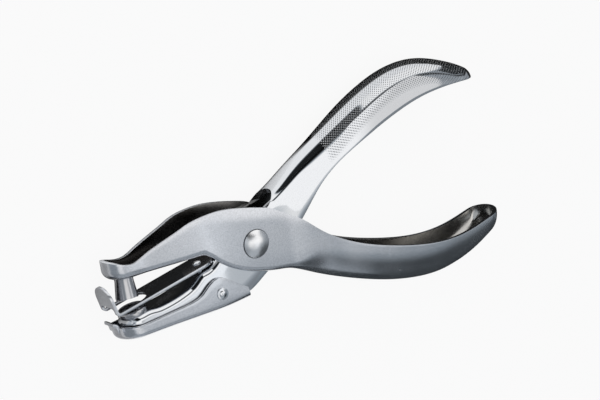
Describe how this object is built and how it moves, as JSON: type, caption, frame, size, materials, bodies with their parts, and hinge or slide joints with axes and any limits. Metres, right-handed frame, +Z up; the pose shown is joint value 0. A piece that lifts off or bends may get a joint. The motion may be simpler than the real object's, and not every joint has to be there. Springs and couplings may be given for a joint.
{
  "type": "plier hole punch",
  "caption": "Hand-held plier hole punch of pressed chromed steel, held open by its spring, with punch, die, stripper plate and a swinging chip receptacle.",
  "frame": {"origin": "on the pivot's axis, in the plane of the flat on the rivet's lower head, which the tool rests on when it lies on its side", "axes": "+Z up along the pivot axis, +X from the jaws to the handles along the middle of the open tool, +Y to the die lever's handle, so the punch jaw is on the +Y side at -X"},
  "size_m": [0.1311, 0.0637, 0.0166],
  "materials": {
    "polished_chrome": "polished",
    "satin_chrome": "satin",
    "hardened_steel": "ground",
    "plain_steel": "plain",
    "spring_wire": "drawn wire"
  },
  "bodies": {
    "punch_lever": {"punch_lever": "satin_chrome", "pivot_rivet": "polished_chrome", "punch_pin": "hardened_steel"},
    "die_lever": {"die_lever": "polished_chrome", "pivot_bush": "plain_steel", "return_spring": "spring_wire", "die": "hardened_steel", "stripper_plate": "satin_chrome", "stripper_rivet": "polished_chrome", "receptacle_studs": "polished_chrome"},
    "chip_receptacle": {"chip_receptacle": "satin_chrome"}
  },
  "joints": [
    {"name": "lever_pivot", "type": "hinge", "parent": "punch_lever", "child": "die_lever", "pos_m": [0, 0, 0.0083], "axis": [0, 0, -1], "range_deg": [0, 10], "stiffness_Nm_per_rad": 0.2, "springref_deg": -80.21, "deforming": ["return_spring"]},
    {"name": "receptacle_pivot", "type": "hinge", "parent": "die_lever", "child": "chip_receptacle", "pos_m": [-0.01405, -0.00949, 0.0083], "axis": [0, 0, 1], "range_deg": [0, 28]}
  ]
}
